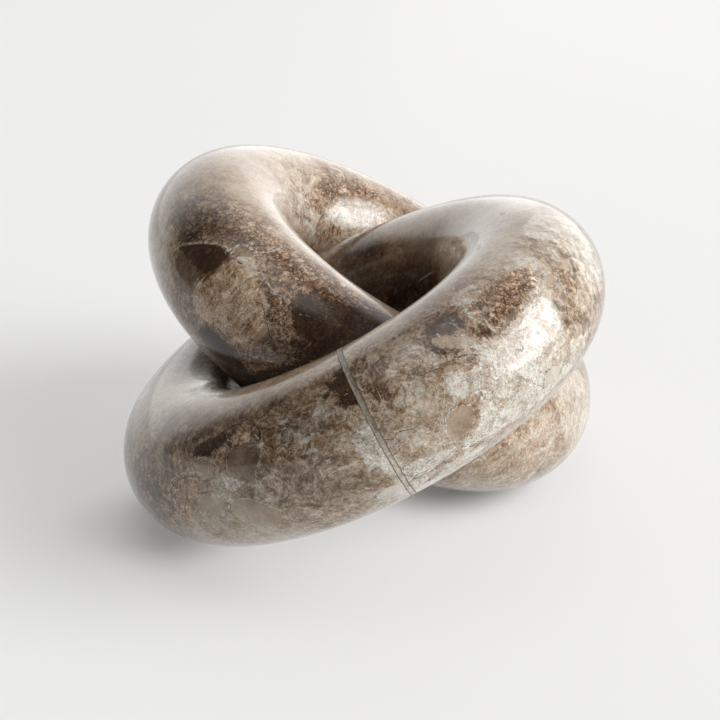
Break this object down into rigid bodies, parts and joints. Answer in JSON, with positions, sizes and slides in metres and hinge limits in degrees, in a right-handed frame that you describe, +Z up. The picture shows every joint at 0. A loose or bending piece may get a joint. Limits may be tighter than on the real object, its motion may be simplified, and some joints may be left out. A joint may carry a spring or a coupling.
{
  "type": "marble chain sculpture",
  "caption": "Table sculpture of thick round polished stone rings, threaded through each other like chain links and leaning on one another.",
  "frame": {"origin": "middle of the footprint, at the level of the surface that the links rest on", "axes": "+X to the right as seen in the picture's view, +Y from the front link towards the back link along the line of their centres, +Z up"},
  "size_m": [0.1286, 0.1813, 0.0879],
  "materials": {
    "front_stone": "polished brown and beige marble",
    "back_stone": "polished brown and beige marble",
    "joint_filler": "matt grey resin filler"
  },
  "bodies": {
    "front_link_body": {"front_link_right_half": "front_stone", "front_link_left_half": "front_stone", "near_joint_filler": "joint_filler", "far_joint_filler": "joint_filler"},
    "back_link_body": {"back_link": "back_stone"}
  },
  "joints": [
    {"name": "back_link_turn", "type": "hinge", "parent": "front_link_body", "child": "back_link_body", "pos_m": [0, 0.02045, 0.04381], "axis": [0.4763, 0, 0.8793], "continuous": true}
  ]
}
